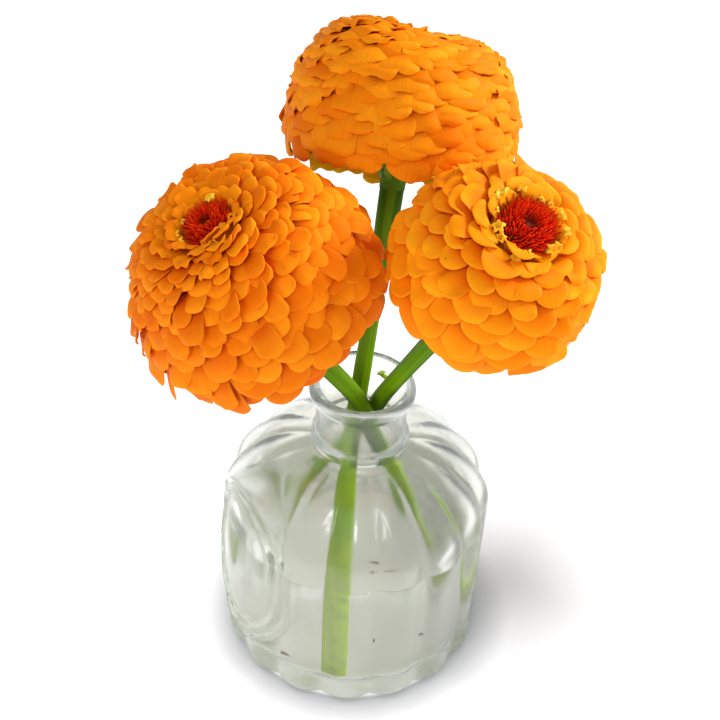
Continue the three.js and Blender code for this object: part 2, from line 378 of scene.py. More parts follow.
def press_plaque(verts):
    """Swells the side out to the plaque's field and the two ridges round it."""
    for v in verts:
        radius = math.hypot(v.co.x, v.co.y)
        if radius < NECK_RADIUS + 2 or v.co.z < 5:
            continue
        inside = within_plaque(v)
        rim = max(1 - smooth(abs(inside - ridge), *PLAQUE_RIDGE) for ridge in PLAQUE_RIDGES)
        face = PLAQUE_FIELD + PLAQUE_RIM * rim - PLAQUE_LEAN * smooth(v.co.z, *PLAQUE_LEANS)
        scale = blend(radius, max(face, radius), smooth(inside, *PLAQUE_EDGE)) / radius
        v.co.x *= scale
        v.co.y *= scale


def finished(name, bm, finish, sharp, rounded=False):
    """The mesh in metres as an object of its own, smooth but for edges over sharp degrees."""
    bmesh.ops.scale(bm, verts=bm.verts, vec=(MM, MM, MM))
    mesh = bpy.data.meshes.new(name)
    bm.to_mesh(mesh)
    bm.free()
    mesh.set_sharp_from_angle(angle=math.radians(sharp))
    mesh.polygons.foreach_set("use_smooth", [True] * len(mesh.polygons))
    mesh.materials.append(finish.material)
    made = bpy.data.objects.new(name, mesh)
    scene.collection.objects.link(made)
    if rounded:
        subdivision = made.modifiers.new("rounded", "SUBSURF")
        subdivision.levels = subdivision.render_levels = 1
    return made


def lets_lamps_through(finish, color):
    """Glass and water throw a pale shadow, as the light that goes through them would."""
    ray = finish.node("ShaderNodeLightPath", out="Is Shadow Ray")
    clear = finish.node("ShaderNodeBsdfTransparent", {"Color": color})
    shader = Wire(finish, finish.shader.outputs[0])
    finish.join(finish.node("ShaderNodeMixShader", [ray, shader, clear]),
                finish.output.inputs["Surface"])


glass = Finish("pressed_glass", IOR=1.45, Transmission_Weight=0.95)
aside, depth, level = glass.apart(glass.place())
from_plaque = glass.node("ShaderNodeVectorMath", [glass.place(), PLAQUE_MIDDLE],
                         out="Value", operation="DISTANCE")
on_plaque, on_shoulder = 1 - from_plaque.step(*PLAQUE_ENDS), level.step(*SHOULDER_STARTS)
on_right = depth.step(*FRONT_ENDS) * aside.step(*RIGHT_STARTS)
on_flank = (aside.size().step(*FLANK_OUT) * level.step(*FLANK_STARTS)
            * (1 - level.step(*FLANK_ENDS)))
pressed = (on_plaque * 0.2).larger(on_shoulder).larger(on_right)
pressed = pressed + level.step(*NECK_STARTS) * 0.45 + on_flank * 0.7
on_foot = 1 - level.step(*FOOT_ENDS)
glass.set(Base_Color=glass.mix(level.step(*LIP_STARTS), CLEAR_TINT, LIP_TINT),
          Roughness=0.05 + 0.11 * pressed + 0.22 * on_foot)
glass.join(glass.node("ShaderNodeVolumeAbsorption", {"Color": (0.68, 0.86, 0.78), "Density": 8}),
           glass.output.inputs["Volume"])
ripple = glass.noise(glass.place((1, 1, 0.6)), 70, 2)
glass.bump(ripple, 0.0006, 0.22)
lets_lamps_through(glass, (0.94, 0.945, 0.93))

outside = softened([
    (0, 1.2), (26, 1.0), (32.5, 0.15), (34, 0), (36.4, 0), (39.4, 1.8), (40.5, 5),
    (40.2, 12), (40.2, 34)], 4) + softened([
    *shoulder(0, 14), (14.4, 76.6), (14.4, 78.7), (13.2, 79.9), (13.2, 91), (14.6, 92),
    (15.6, 93.6), (15.1, 95.7), (14, 96.4)], 2.6)[1:]
inside = softened([
    (14, 96.4), (12.4, 96.1), (11.5, 94.6), (11.5, 74), *reversed(shoulder(WALL, 8)),
    (36.4, 15.5), (35.8, 10.5), (33, 7.1), (28, 5.5), (0, 5.5)], 4.5)
bm = bmesh.new()
outer = turn_profile(bm, outside)
press_flutes(outer)
press_plaque(outer)
press_flutes([v for v in turn_profile(bm, inside) if v.co.z > INSIDE_FLOOR], FLUTE_INSIDE)
bmesh.ops.remove_doubles(bm, verts=bm.verts, dist=WELD)
bmesh.ops.recalc_face_normals(bm, faces=bm.faces)
vase = finished("glass_vase", bm, glass, sharp=80)
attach(vase, "root")
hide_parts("vase")
high_lamp.blocker_collection.objects.link(vase)
lamp_for(front_lamp, vase, "EXCLUDE")
lamp_for(right_lamp, vase, "EXCLUDE")

# ---- Water ----
# Clear water up to a little over the middle of the body. It wets the glass, so it meets
# the wall without a gap and creeps a little up it.
WATER_LEVEL, CREEP = 48, 0.6
CREEP_STEPS = [(0.5, 0.12), (0.8, 0.08), (1.5, 0.04)]   # in from the wall, and down

water_finish = Finish("water", Base_Color=(0.985, 0.985, 0.96, 1), Roughness=0.0,
                      IOR=1.33, Transmission_Weight=1.0)
lets_lamps_through(water_finish, (0.99, 0.995, 0.98))
bm = bmesh.new()
skin = turn_profile(bm, softened([
    (0, 5.4), (28, 5.4), (33.1, 7), (35.9, 10.5), (36.5, 15.5), (36.5, 53)], 4.5))
press_flutes([v for v in skin if v.co.z > INSIDE_FLOOR], FLUTE_INSIDE)
bmesh.ops.remove_doubles(bm, verts=bm.verts, dist=WELD)
bmesh.ops.bisect_plane(bm, geom=bm.faces[:] + bm.edges[:] + bm.verts[:], clear_outer=True,
                       plane_co=(0, 0, WATER_LEVEL + CREEP), plane_no=(0, 0, 1))
surface = bmesh.ops.holes_fill(bm, edges=bm.edges)["faces"]
bmesh.ops.recalc_face_normals(bm, faces=bm.faces)
for inward, down in CREEP_STEPS:
    bmesh.ops.inset_region(bm, faces=surface, thickness=inward, depth=-down)
water = finished("water_in_vase", bm, water_finish, sharp=80)
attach(water, "root")
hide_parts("water")
lamp_for(front_lamp, water, "EXCLUDE")

# ---- Stems ----
# Fleshy ribbed green stems, stripped of their leaves. They cross in the mouth of the vase
# and run down through the water to its floor; each swells under its head.

# Each flower has its head's size, place and side view, in shares of its radius, and the
# line of its stem from the floor of the vase up to the mouth.
FLOWERS = {
    "left": dict(radius=33, rows=9, disc=5.6, centre=(-27.6, -17.0, 139.6),
                 axis=(-0.441, -0.235, 0.866),
                 outline=[(0.80, -0.37), (0.95, -0.18), (0.98, 0.06), (0.91, 0.38),
                          (0.74, 0.65), (0.5, 0.84)],
                 stem=[(27.6, 8.6, 7.4), (15.6, 0.2, 50), (4.4, -4.9, 80), (-1.9, -6.2, 96)],
                 swell=0.5, foot=0.0),
    "right": dict(radius=26.5, rows=7, disc=6.4, centre=(29.4, -26.1, 156.0),
                  axis=(0.289, -0.36, 0.887),
                  outline=[(0.82, -0.36), (0.955, -0.18), (0.97, 0.06), (0.915, 0.38),
                           (0.77, 0.63), (0.55, 0.78)],
                  stem=[(-24.0, 19.0, 7.4), (-12.2, 11.2, 50), (1.9, 3.6, 80), (7.3, -2.0, 96)],
                  swell=0.5, foot=0.0),
    "back": dict(radius=31.5, rows=10, disc=5.4, centre=(6.3, 26.8, 164.1),
                 axis=(0.09, 0.42, 0.903),
                 outline=[(0.86, -0.37), (0.98, -0.18), (1.0, 0.05), (0.95, 0.35), (0.82, 0.6),
                          (0.58, 0.79)],
                 stem=[(-3.4, -30.2, 7.6), (-3.4, -17.2, 50), (-2.3, -2.7, 80), (-0.6, 1.9, 96)],
                 swell=0.8, foot=0.42),
}
STEM_RADIUS, STEM_SIDES, STEM_STEP = 2.5, 24, 3.0
STEM_RIBS, RIB_DEPTH = 6, 0.045
GROOVE_TURN, GROOVE_DEPTH, GROOVE_NARROW = 3.3, 0.10, 4
GROOVE_SHADE_SIDE, GROOVE_SHADE_STARTS = (0.10, 0.26), (0.44, 0.56)   # painted shade in the groove: shares of girth and length
SWELL_STARTS, FOOT_TAPERS = 0.72, (0.2, 0.5)
WAVER, WAVER_PACE = 0.03, 23
CALYX_DEPTH, FIT = 11, 0.3


def through(points, count):
    """Evenly spaced places on a smooth line through the points, and its length."""
    knots = [points[0] * 2 - points[1], *points, points[-1] * 2 - points[-2]]
    line = []
    for i in range(1, len(knots) - 2):
        a, b, c, d = knots[i - 1:i + 3]
        for j in range(16):
            t = j / 16
            line.append(0.5 * ((2 * b) + (c - a) * t + (2 * a - 5 * b + 4 * c - d) * t * t
                               + (3 * b - a - 3 * c + d) * t ** 3))
    line.append(points[-1])
    lengths = [0]
    for a, b in zip(line, line[1:]):
        lengths.append(lengths[-1] + (b - a).length)
    spaced, i = [], 0
    for j in range(count):
        goal = lengths[-1] * j / (count - 1)
        while i < len(line) - 2 and lengths[i + 1] < goal:
            i += 1
        span = lengths[i + 1] - lengths[i]
        spaced.append(line[i].lerp(line[i + 1], (goal - lengths[i]) / span if span else 0))
    return spaced, lengths[-1]


def placed(point, turn):
    """From a shape made about the origin to its place and turn."""
    return Matrix.Translation(point) @ turn.to_matrix().to_4x4()


def head_matrix(flower):
    """From a head made about the origin, face up, to its place on its stem."""
    axis = Vector(flower["axis"]).normalized()
    return placed(flower["centre"], Vector((0, 0, 1)).rotation_difference(axis))


def next_ring(bm, edges):
    """Draws a tube's last ring of edges out, and gives the new vertices and edges."""
    made = bmesh.ops.extrude_edge_only(bm, edges=edges)["geom"]
    return ([g for g in made if isinstance(g, bmesh.types.BMVert)],
            [g for g in made if isinstance(g, bmesh.types.BMEdge)])


def cone_ends(flower):
    """The lowest and highest points of the cone that carries the petals."""
    top = flower["outline"][-1][1] * flower["radius"]
    return flower["outline"][0][1] * flower["radius"] * 0.5, top - 3.2


def stem_line(flower):
    low = cone_ends(flower)[0] - CALYX_DEPTH - FIT
    matrix = head_matrix(flower)
    points = [Vector(point) for point in flower["stem"]]
    points += [matrix @ Vector((0, 0, low - 9)), matrix @ Vector((0, 0, low + 1))]
    _, length = through(points, 2)
    return through(points, round(length / STEM_STEP))


stem_finish = Finish("stem_green", Roughness=0.5, Specular_IOR_Level=0.08)
around, along, _ = stem_finish.attribute("stem")
streaks = stem_finish.noise(stem_finish.vector(around * 9, along * 1.5, 0), 1.0, 3)
mottle = stem_finish.noise(stem_finish.place(), 260, 3)
# Painted light and shade along the stem: painted lighter below the water line, and painted
# darker from the vase's neck up under the head, where the heads shade it.
green = stem_finish.node("ShaderNodeValToRGB", [along], stops=[
    (0.0, (0.58, 0.82, 0.0)), (0.27, (0.54, 0.80, 0.0)), (0.31, (0.32, 0.64, 0.0)),
    (0.48, (0.42, 0.74, 0.0)), (0.58, (0.14, 0.28, 0.0)), (0.9, (0.065, 0.16, 0.0)),
    (1.0, (0.03, 0.10, 0.0))])
green = stem_finish.mix(streaks.step(0.42, 0.7) * 0.22, green, (0.34, 0.56, 0.02))
# Painted shade down the groove, on the stem's upper half.
painted_groove_shade = (1 - around.step(*GROOVE_SHADE_SIDE)) * along.step(*GROOVE_SHADE_STARTS)
green = stem_finish.mix(painted_groove_shade * 0.6, green, (0.03, 0.09, 0.0))
green = stem_finish.mix(mottle.step(0.5, 0.75) * 0.3, green, (0.06, 0.17, 0.015))
stem_finish.set(Base_Color=green, Roughness=0.42 + 0.2 * mottle)
stem_finish.bump(streaks * 0.7 + mottle * 0.3, 0.0004, 0.6)

for name, flower in FLOWERS.items():
    line, _ = stem_line(flower)
    bm = bmesh.new()
    layer = bm.verts.layers.float_vector.new("stem")
    ring = bmesh.ops.create_circle(bm, radius=1, segments=STEM_SIDES)["verts"]
    for i, v in enumerate(ring):
        turn = i / STEM_SIDES * math.tau
        dip = math.exp(-((turn - GROOVE_TURN) * GROOVE_NARROW) ** 2)
        v.co *= 1 + RIB_DEPTH * math.cos(STEM_RIBS * turn) - GROOVE_DEPTH * dip
        v[layer] = (2 * abs(turn / math.tau - 0.5), 0, 0)
    edges = list({e for v in ring for e in v.link_edges})
    facing = (line[1] - line[0]).to_track_quat("Z", "Y")
    last = Matrix.Identity(4)
    for i, point in enumerate(line):
        ahead = line[min(i + 1, len(line) - 1)] - line[max(i - 1, 0)]
        facing = (facing @ Vector((0, 0, 1))).rotation_difference(ahead) @ facing
        share = i / (len(line) - 1)
        wide = STEM_RADIUS * (
            1 + flower["swell"] * 0.5 * smooth(share, SWELL_STARTS, 1) ** 2
            + flower["foot"] * (1 - smooth(share, *FOOT_TAPERS))
            + WAVER * math.sin(share * WAVER_PACE + flower["radius"]))
        now = placed(point, facing) @ Matrix.Diagonal((wide, wide, 1, 1))
        if i:
            ring, edges = next_ring(bm, edges)
        bmesh.ops.transform(bm, matrix=now @ last.inverted(), verts=ring)
        for v in ring:
            v[layer] = (v[layer].x, share, 0)
        last = now
    bmesh.ops.holes_fill(bm, edges=bm.edges, sides=0)
    bmesh.ops.recalc_face_normals(bm, faces=bm.faces)
    stem = finished(f"ribbed_stem_{name}", bm, stem_finish, sharp=60)
    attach(stem, "root")
    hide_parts(f"stem_{name}")
    lamp_for(stem_lamp, stem, "INCLUDE")

# ---- Stem flecks ----
# Flecks of stem skin that came off when the stems were stripped: brown ones in the water
# and a green one that clings to the inside of the lip.
FLECKS = [
    # place, half sizes, turn in degrees
    ((15.0, -6.0, 7.2), (3.2, 0.5, 0.6), 12), ((5.2, -7.0, 7.0), (1.1, 0.9, 0.8), 0),
    ((5.6, -25.0, 48.4), (2.0, 0.4, 0.25), -8), ((-15.0, -22.0, 7.0), (0.9, 0.7, 0.6), 0),
    ((6.6, 8.6, 91.4), (2.6, 0.9, 0.4), -40), ((5.3, 9.3, 92.4), (1.6, 0.7, 0.4), 35),
]
FLECK_BEND = 0.35
GREEN_ABOVE = (0.06, 0.08)   # in metres: between the water and the lip

fleck_finish = Finish("stem_skin", Roughness=0.6, Specular_IOR_Level=0.2)
_, _, level = fleck_finish.apart(fleck_finish.place())
fibre = fleck_finish.noise(fleck_finish.place(), 900, 2)
brown = fleck_finish.mix(fibre, (0.10, 0.045, 0.012), (0.30, 0.17, 0.05))
green = fleck_finish.mix(fibre, (0.26, 0.48, 0.01), (0.46, 0.66, 0.04))
fleck_finish.set(Base_Color=fleck_finish.mix(level.step(*GREEN_ABOVE), brown, green))
fleck_finish.bump(fibre, 0.0001, 0.5)

bm = bmesh.new()
for place, halves, turn in FLECKS:
    fleck = bmesh.ops.create_icosphere(bm, subdivisions=2, radius=1)["verts"]
    for v in fleck:
        v.co.z -= FLECK_BEND * v.co.x * v.co.x
    bmesh.ops.scale(bm, vec=halves, verts=fleck)
    bmesh.ops.rotate(bm, cent=(0, 0, 0), verts=fleck,
                     matrix=Matrix.Rotation(math.radians(turn), 3, "Z"))
    bmesh.ops.translate(bm, vec=place, verts=fleck)
flecks = finished("stem_flecks", bm, fleck_finish, sharp=60)
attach(flecks, "root")
lamp_for(stem_lamp, flecks, "INCLUDE")

# ---- Petals ----
# Soft ray petals, hundreds on a head, each on a narrow claw from the receptacle. They lie
# over each other like shingles, tips towards the stem, and get smaller towards the disc.
PETAL_THICK = 0.5
PETAL_ACROSS, PETAL_ALONG, PETAL_TIP_ROWS = 4, 6, 3
PETAL_WIDTHS = (0.18, 0.46, 0.88, 1.0)   # shares of its width, from the claw to the blade
PETAL_OPENS = (0.3, 0.85)                # shares of its length over which it opens out
NOTCH_WIDE = 0.2
RUFFLE_WAVES, RUFFLE_RUNS, RUFFLE_MIDDLE = 3.6, 2.4, 0.25
GOLDEN = math.radians(137.508)
OUTLINE_STEPS, PATH_STEPS = 200, 40
BELOW_OUTLINE = Vector((0.26, 0.97))     # how the outline runs on below its end
# Shares of the way up a head
HEM_TOP, UNDER_TOP, CLAW_STARTS = 0.12, (0.08, 0.3), 0.72
ODD_STARTS, RUFFLE_STARTS, CALM_STARTS = (0.02, 0.12), (0.05, 0.3), (0.5, 0.8)
CREST_STARTS, CREST_DIP = (0.3, 0.9), -0.2
INNER_STARTS, BEND_OUTER, BEND_INNER = 0.8, 0.55, 0.4
ODD_STEADY = 0.55      # odd petals stand out, and are ruffled less
# Values in fours are for the lowest petals, those above them, the middle and beside the
# disc. Lengths are in millimetres, angles in degrees, and the rest are shares.
PETALS = {
    "left": dict(
        seed=11, divergence=GOLDEN, start=0.3, first=2.6,
        height=(6.2, 5.0, 4.0, 2.9), pitch=(10.6, 7.6, 6.4, 3.9), wide=(11.0, 10.2, 8.4, 4.6),
        reach=(13, 13, 12, 8), sink=(0.32, 0.34, 0.40, 0.42), lift=(0.2, 0.3, 0.6, 1.4),
        hook=(-0.2, 0.1, 0.8, 0.3), cup=(0.30, 0.34, 0.42, 0.10), tip=0.44, ruffle=0.6,
        notch=0.5, roll=5, yaw=9, stray=2.2, odd=0.28, size=0.20, ragged=0.5, uneven=0.2,
        droop=0, crest=0, calm=1),
    "right": dict(
        seed=5, divergence=GOLDEN, start=1.1, first=-2.0,
        height=(6.2, 5.8, 5.0, 3.4), pitch=(10.8, 8.4, 7.4, 6.2), wide=(11.2, 11.0, 10, 7.4),
        reach=(13, 13, 12, 8), sink=(0.34, 0.34, 0.40, 0.40), lift=(0.9, 0.3, 0.6, 1.4),
        hook=(-1.6, -0.8, 0.8, 0.5), cup=(0.26, 0.26, 0.20, -0.25), tip=0.50, ruffle=0.8,
        notch=0.5, roll=5, yaw=10, stray=1.1, odd=0.30, size=0.28, ragged=2, uneven=0.26,
        droop=0, crest=0, calm=0.6),
    "back": dict(
        seed=3, divergence=math.tau / 15.62, start=0.0, first=-1.6,
        height=(4.2, 3.0, 2.7, 2.4), pitch=(10.4, 10.2, 10.2, 7.0), wide=(12.6, 12.4, 12.4, 9.0),
        reach=(12, 12, 11.5, 9.5), sink=(0.22, 0.34, 0.36, 0.30), lift=(1.8, 0.9, 0.8, 0.6),
        hook=(0.0, 0.8, 1.1, 1.7), cup=(0.55, 0.5, 0.45, 0.35), tip=0.25, ruffle=0.95,
        notch=1.7, roll=3, yaw=5, stray=0.7, odd=0.06, size=0.13, ragged=0.8, uneven=0.14,
        droop=6, crest=1.7, calm=1),
}


def graded(values, share):
    """A value between four that are given for a head from the bottom to the top."""
    for low, high, here, there in zip((0, 0.1, 0.5), (0.1, 0.5, 1), values, values[1:]):
        if share <= high:
            return blend(here, there, (share - low) / (high - low))


def on_line(line, place):
    """A point on a line of even steps, and the way that the line runs there."""
    place = min(max(place, 0), len(line) - 1.001)
    i = int(place)
    return line[i].lerp(line[i + 1], place - i), (line[i + 1] - line[i]).normalized()


def cone_radius(flower, height):
    low, high = cone_ends(flower)
    return blend(flower["radius"] * 0.24, flower["disc"] - 1.2, (height - low) / (high - low))


class Outline:
    """The side view of a head, from its lowest tips over the top and down beside the disc."""

    def __init__(self, flower):
        points = [Vector(point) * flower["radius"] for point in flower["outline"]]
        top = points[-1].y
        rim = Vector((flower["disc"] + 1.6, top + 0.4))
        beyond = [Vector((flower["disc"] + 0.3, top - 1.6)),
                  Vector((flower["disc"] - 0.4, top - 4))]
        _, self.length = through([*points, rim], 2)
        self.line, whole = through([*points, rim, *beyond], OUTLINE_STEPS + 1)
        self.step = whole / OUTLINE_STEPS

    def at(self, distance):
        """A point and the outward direction there."""
        point, ahead = on_line(self.line, distance / self.step)
        if distance < 0:
            point = self.line[0] + BELOW_OUTLINE * distance
        return point, Vector((ahead.y, -ahead.x))


def add_petal(bm, layer, path, turn, shape):
    """One petal along a path of radius and height, its claw inside and its tip outside."""
    line, length = through(path, PATH_STEPS + 1)
    wide, tip = shape["wide"] / 2, min(shape["wide"] * shape["tip"], length * 0.5)
    bend = shape["bend"] * length
    rows = [0, bend * 0.7, blend(bend, length - tip, 0.35), length - tip]
    side = Vector((-math.sin(turn), math.cos(turn), 0))
    last_row = len(rows) - 1
    for v in bmesh.ops.create_grid(
            bm, x_segments=PETAL_ACROSS, y_segments=PETAL_ALONG, size=1)["verts"]:
        x, row = v.co.x, round((v.co.y + 1) * PETAL_ALONG / 2)
        far = max(row - last_row, 0) / PETAL_TIP_ROWS
        if far:
            distance = length - tip + tip * far * math.sqrt(1 - x * x / 2)
            across = x * wide * math.sqrt(1 - far * far / 2)
            distance -= shape["notch"] * far * math.exp(-(x / NOTCH_WIDE) ** 2)
        else:
            distance, across = rows[row], x * wide * PETAL_WIDTHS[row]
        share = distance / length
        point, ahead = on_line(line, share * PATH_STEPS)
        out = Vector((-ahead.y, ahead.x)) * shape["face"]
        open_out = smooth(share, *PETAL_OPENS)
        across += shape["yaw"] * max(distance - bend, 0)
        wave = math.sin(shape["phase"] + RUFFLE_WAVES * x + RUFFLE_RUNS * far)
        lifted = (-shape["cup"] * wide * 0.5 * x * x * open_out
                  - shape["hook"] * far ** 3
                  + shape["ruffle"] * open_out * (RUFFLE_MIDDLE + abs(x)) * wave
                  + shape["fold"] * max(x * shape["fold_side"], 0) ** 2 * open_out)
        lean = shape["roll"] * open_out
        sideways = across * math.cos(lean) - lifted * math.sin(lean)
        upward = across * math.sin(lean) + lifted * math.cos(lean)
        point = point + out * upward
        v.co = Vector((point.x * math.cos(turn), point.x * math.sin(turn), point.y))
        v.co += side * sideways
        v[layer] = (x, share, shape["tone"])


def petal_finish(name, color, deep, gold, olive, painted_low_shade):
    """Matt, faintly veined orange, golden green at the claw, with painted shade where the petals
    cover each other and on the lowest petals, and a painted highlight along the edges and tips."""
    petal = Finish(name, Specular_IOR_Level=0.05)
    across, along, tone = petal.attribute("petal")
    under, claw, lowest = petal.attribute("under")
    veins = petal.noise(petal.vector(across * 7, along * 1.2, tone * 40), 1.0, 3)
    clouds = petal.noise(petal.place(), 90, 2)
    light, dark = petal.mix(0.3, color, (1.0, 0.43, 0.015)), petal.mix(0.5, color, deep)
    base = petal.mix(tone, light, dark)
    # Painted shade on the lowest petals of a head.
    base = petal.mix(lowest * painted_low_shade, base, deep)
    base = petal.mix(veins.step(0.38, 0.72) * 0.16, base, deep)
    base = petal.mix(clouds.step(0.5, 0.8) * 0.20, base, deep)
    # Painted shade on the covered part of each petal, up to where the one above lies on it.
    base = petal.mix((1 - along.step(0.74, 0.97)) * 0.9, base, deep)
    # Painted highlight along the edges and the tip of each petal.
    painted_edge_highlight = (across.size() ** 4).larger(along.step(0.93, 1.02))
    base = petal.mix(painted_edge_highlight * 0.3, base, petal.mix(0.5, color, (1.0, 0.45, 0.02)))
    base = petal.mix(claw * (1 - along.step(0.55, 1.05)), base, gold)
    base = petal.mix(under * (0.15 + 0.5 * lowest), base, olive)
    spots = petal.node("ShaderNodeTexVoronoi", {"Vector": petal.place(), "Scale": 150})
    rare = petal.noise(petal.place(), 40, 1).step(0.60, 0.63)
    base = petal.mix((1 - spots.step(0.05, 0.09)) * rare * 0.7, base, (0.30, 0.02, 0.004))
    petal.set(Base_Color=base, Roughness=0.55 + 0.16 * veins)
    petal.bump(veins * 0.7 + clouds * 0.3, 0.0005, 0.3)
    return petal


# Colours of the blade, its deep parts, its claw and its underside, and how much painted shade
# darkens the lowest petals
petal_finishes = {
    "left": petal_finish("petal_deep_orange", (0.98, 0.24, 0.0), (0.68, 0.085, 0.0),
                         (0.84, 0.34, 0.0), (0.74, 0.27, 0.0), 0.5),
    "right": petal_finish("petal_light_orange", (1.0, 0.335, 0.002), (0.84, 0.155, 0.0),
                          (0.86, 0.42, 0.004), (0.86, 0.36, 0.002), 0.3),
    "back": petal_finish("petal_orange", (0.95, 0.27, 0.0), (0.66, 0.095, 0.0),
                         (0.60, 0.30, 0.002), (0.55, 0.37, 0.0), 0),
}

for name, flower in FLOWERS.items():
    style = PETALS[name]
    chance = random.Random(style["seed"])
    outline = Outline(flower)
    low, high = cone_ends(flower)
    rows = [[] for _ in range(flower["rows"])]
    distance, turn = style["first"], style["start"]

    def vary(size):
        return chance.uniform(-size, size)

    while distance < outline.length:
        share = min(max(distance / outline.length, 0), 1)
        wide, reach, sink, lift, hook, cup, height, pitch = (
            graded(style[part], share)
            for part in ("wide", "reach", "sink", "lift", "hook", "cup", "height", "pitch"))
        odd = chance.random() < style["odd"] * smooth(share, *ODD_STARTS)
        stray = style["stray"] * (chance.random() ** 2.5 + 0.4 * odd)
        here = distance + vary(height * style["uneven"])
        hem = 1 - smooth(share, 0, HEM_TOP)
        here -= hem * (style["ragged"] * chance.random() ** 3
                       + style["droop"] * max(math.sin(turn), 0))
        crest = smooth(share, *CREST_STARTS) * max(-math.cos(turn), CREST_DIP)
        lift += style["crest"] * crest
        ruffle = style["ruffle"] * (ODD_STEADY if odd else 1)
        tip, tip_out = outline.at(here)
        middle, middle_out = outline.at(here + reach * 0.45)
        bend, bend_out = outline.at(here + reach)
        seat = blend(low + 0.8, high - 0.6, share)
        path = [Vector((cone_radius(flower, seat) - 0.2, seat)),
                bend + bend_out * (lift - sink * reach),
                middle + middle_out * (lift - sink * reach * 0.36 + stray * 0.4),
                tip + tip_out * (lift + stray)]
        shape = dict(
            wide=wide * (1 + vary(style["size"])), tip=style["tip"] * (1 + vary(0.2)), face=1,
            bend=BEND_OUTER if share < INNER_STARTS else BEND_INNER,
            notch=style["notch"] * chance.random() * (1 + hem),
            cup=cup * (1 + vary(0.4)), hook=hook * (1 + vary(0.5)),
            ruffle=ruffle * (1 + vary(0.6)) * blend(0.5, 1, smooth(share, *RUFFLE_STARTS))
            * blend(1, style["calm"], smooth(share, *CALM_STARTS)),
            phase=chance.uniform(0, math.tau),
            roll=math.radians(style["roll"] + vary(12 if odd else 2)),
            yaw=math.tan(math.radians(vary(style["yaw"]))),
            fold=style["stray"] * chance.uniform(0.15, 0.5) * odd,
            fold_side=chance.choice((-1, 1)), tone=chance.random(),
            claw=smooth(share, CLAW_STARTS, 1), lowest=1 - smooth(share, *UNDER_TOP))
        row = min(int(share * (flower["rows"] + 0.35)), flower["rows"] - 1)
        rows[row].append((path, turn + vary(0.05), shape))
        distance += height * pitch / (math.tau * max(tip.x, 4))
        turn += style["divergence"]
    for i, row in enumerate(rows, 1):
        bm = bmesh.new()
        layer = bm.verts.layers.float_vector.new("petal")
        under = bm.verts.layers.float_vector.new("under")
        for path, turn, shape in row:
            before = set(bm.verts)
            add_petal(bm, layer, path, turn, shape)
            for v in bm.verts:
                if v not in before:
                    v[under] = (0, shape["claw"], shape["lowest"])
        bmesh.ops.reverse_faces(bm, faces=bm.faces)
        upper = set(bm.verts)
        bmesh.ops.solidify(bm, geom=bm.faces[:], thickness=PETAL_THICK)
        for v in bm.verts:
            if v not in upper:
                v[under] = (1, v[under].y, v[under].z)
        bmesh.ops.transform(bm, matrix=head_matrix(flower), verts=bm.verts)
        ring = finished(f"petal_ring_{name}_{i:02d}", bm, petal_finishes[name], sharp=180,
                        rounded=True)
        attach(ring, "root")
        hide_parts(f"petals_{name}_{i:02d}")
        if name == "right":
            high_lamp.blocker_collection.objects.link(ring)

# ---- Discs ----
# The eye of each head: a dome packed with red bristly scales round a dark pit, with small
# yellow star-shaped florets opening round its edge.
DISCS = {
    "left": dict(seed=21, wide=6.2, rise=1.8, bristles=300, florets=11, star=1.6),
    "right": dict(seed=4, wide=7.4, rise=2.6, bristles=380, florets=14, star=1.9),
    "back": dict(seed=8, wide=5.6, rise=-1.5, bristles=200, florets=7, star=1.3),
}
DOME_TALL, PIT_DEEP, PIT_NARROW = 2.4, 1.5, 4
DOME_LEAN = 0.75       # how far the bristles at its edge lean out, in radians
BRISTLE_FOOT, BRISTLE_TIP, BRISTLE_SIDES = 0.32, 0.10, 5
BRISTLE_SHORT, BRISTLE_MORE, BRISTLE_SUNK = 1.1, 1.7, 0.5   # short in the pit
FLORET_TUBE, FLORET_SIDES, FLORET_LOBES, FLORET_TALL = 0.22, 20, 5, 1.9

bristle_finish = Finish("bristle_red", Roughness=0.55, Specular_IOR_Level=0.1)
middle, height, tone = bristle_finish.attribute("bristle")
red = bristle_finish.mix(tone, (1.0, 0.030, 0.0), (0.74, 0.008, 0.0))
red = bristle_finish.mix(height ** 4 * 0.5, red, (1.0, 0.14, 0.0))
red = bristle_finish.mix(1 - middle.step(0.06, 0.40), red, (0.06, 0.003, 0.003))
patches = bristle_finish.noise(bristle_finish.place(), 170, 2)
# Patches round the disc's edge: partly the brown of withered scales, partly painted shade in the
# gaps between them.
withered_and_gap_shade = middle.step(0.6, 0.95) * patches.step(0.5, 0.62)
red = bristle_finish.mix(withered_and_gap_shade * 0.75, red, (0.14, 0.07, 0.006))
# Painted shade at the bristles' feet, down among them, and on the dome beneath.
red = bristle_finish.mix(1 - height.step(0.0, 0.25), red, (0.12, 0.008, 0.002))
flecks = bristle_finish.noise(bristle_finish.place(), 900, 2)
bristle_finish.set(Base_Color=bristle_finish.mix(flecks * 0.35, red, (0.25, 0.02, 0.004)),
                   Roughness=0.45 + 0.25 * flecks)
bristle_finish.bump(flecks, 0.0002, 0.4)

floret_finish = Finish("floret_yellow", Roughness=0.5, Specular_IOR_Level=0.25)
_, height, tone = floret_finish.attribute("bristle")
yellow = floret_finish.mix(tone, (1.0, 0.50, 0.01), (0.90, 0.60, 0.03))
yellow = floret_finish.mix(1 - height.step(0.2, 0.8), yellow, (0.28, 0.22, 0.02))
fuzz = floret_finish.noise(floret_finish.place(), 1100, 2)
floret_finish.set(Base_Color=floret_finish.mix(fuzz * 0.3, yellow, (0.75, 0.28, 0.006)),
                  Roughness=0.4 + 0.3 * fuzz)
floret_finish.bump(fuzz, 0.0002, 0.4)


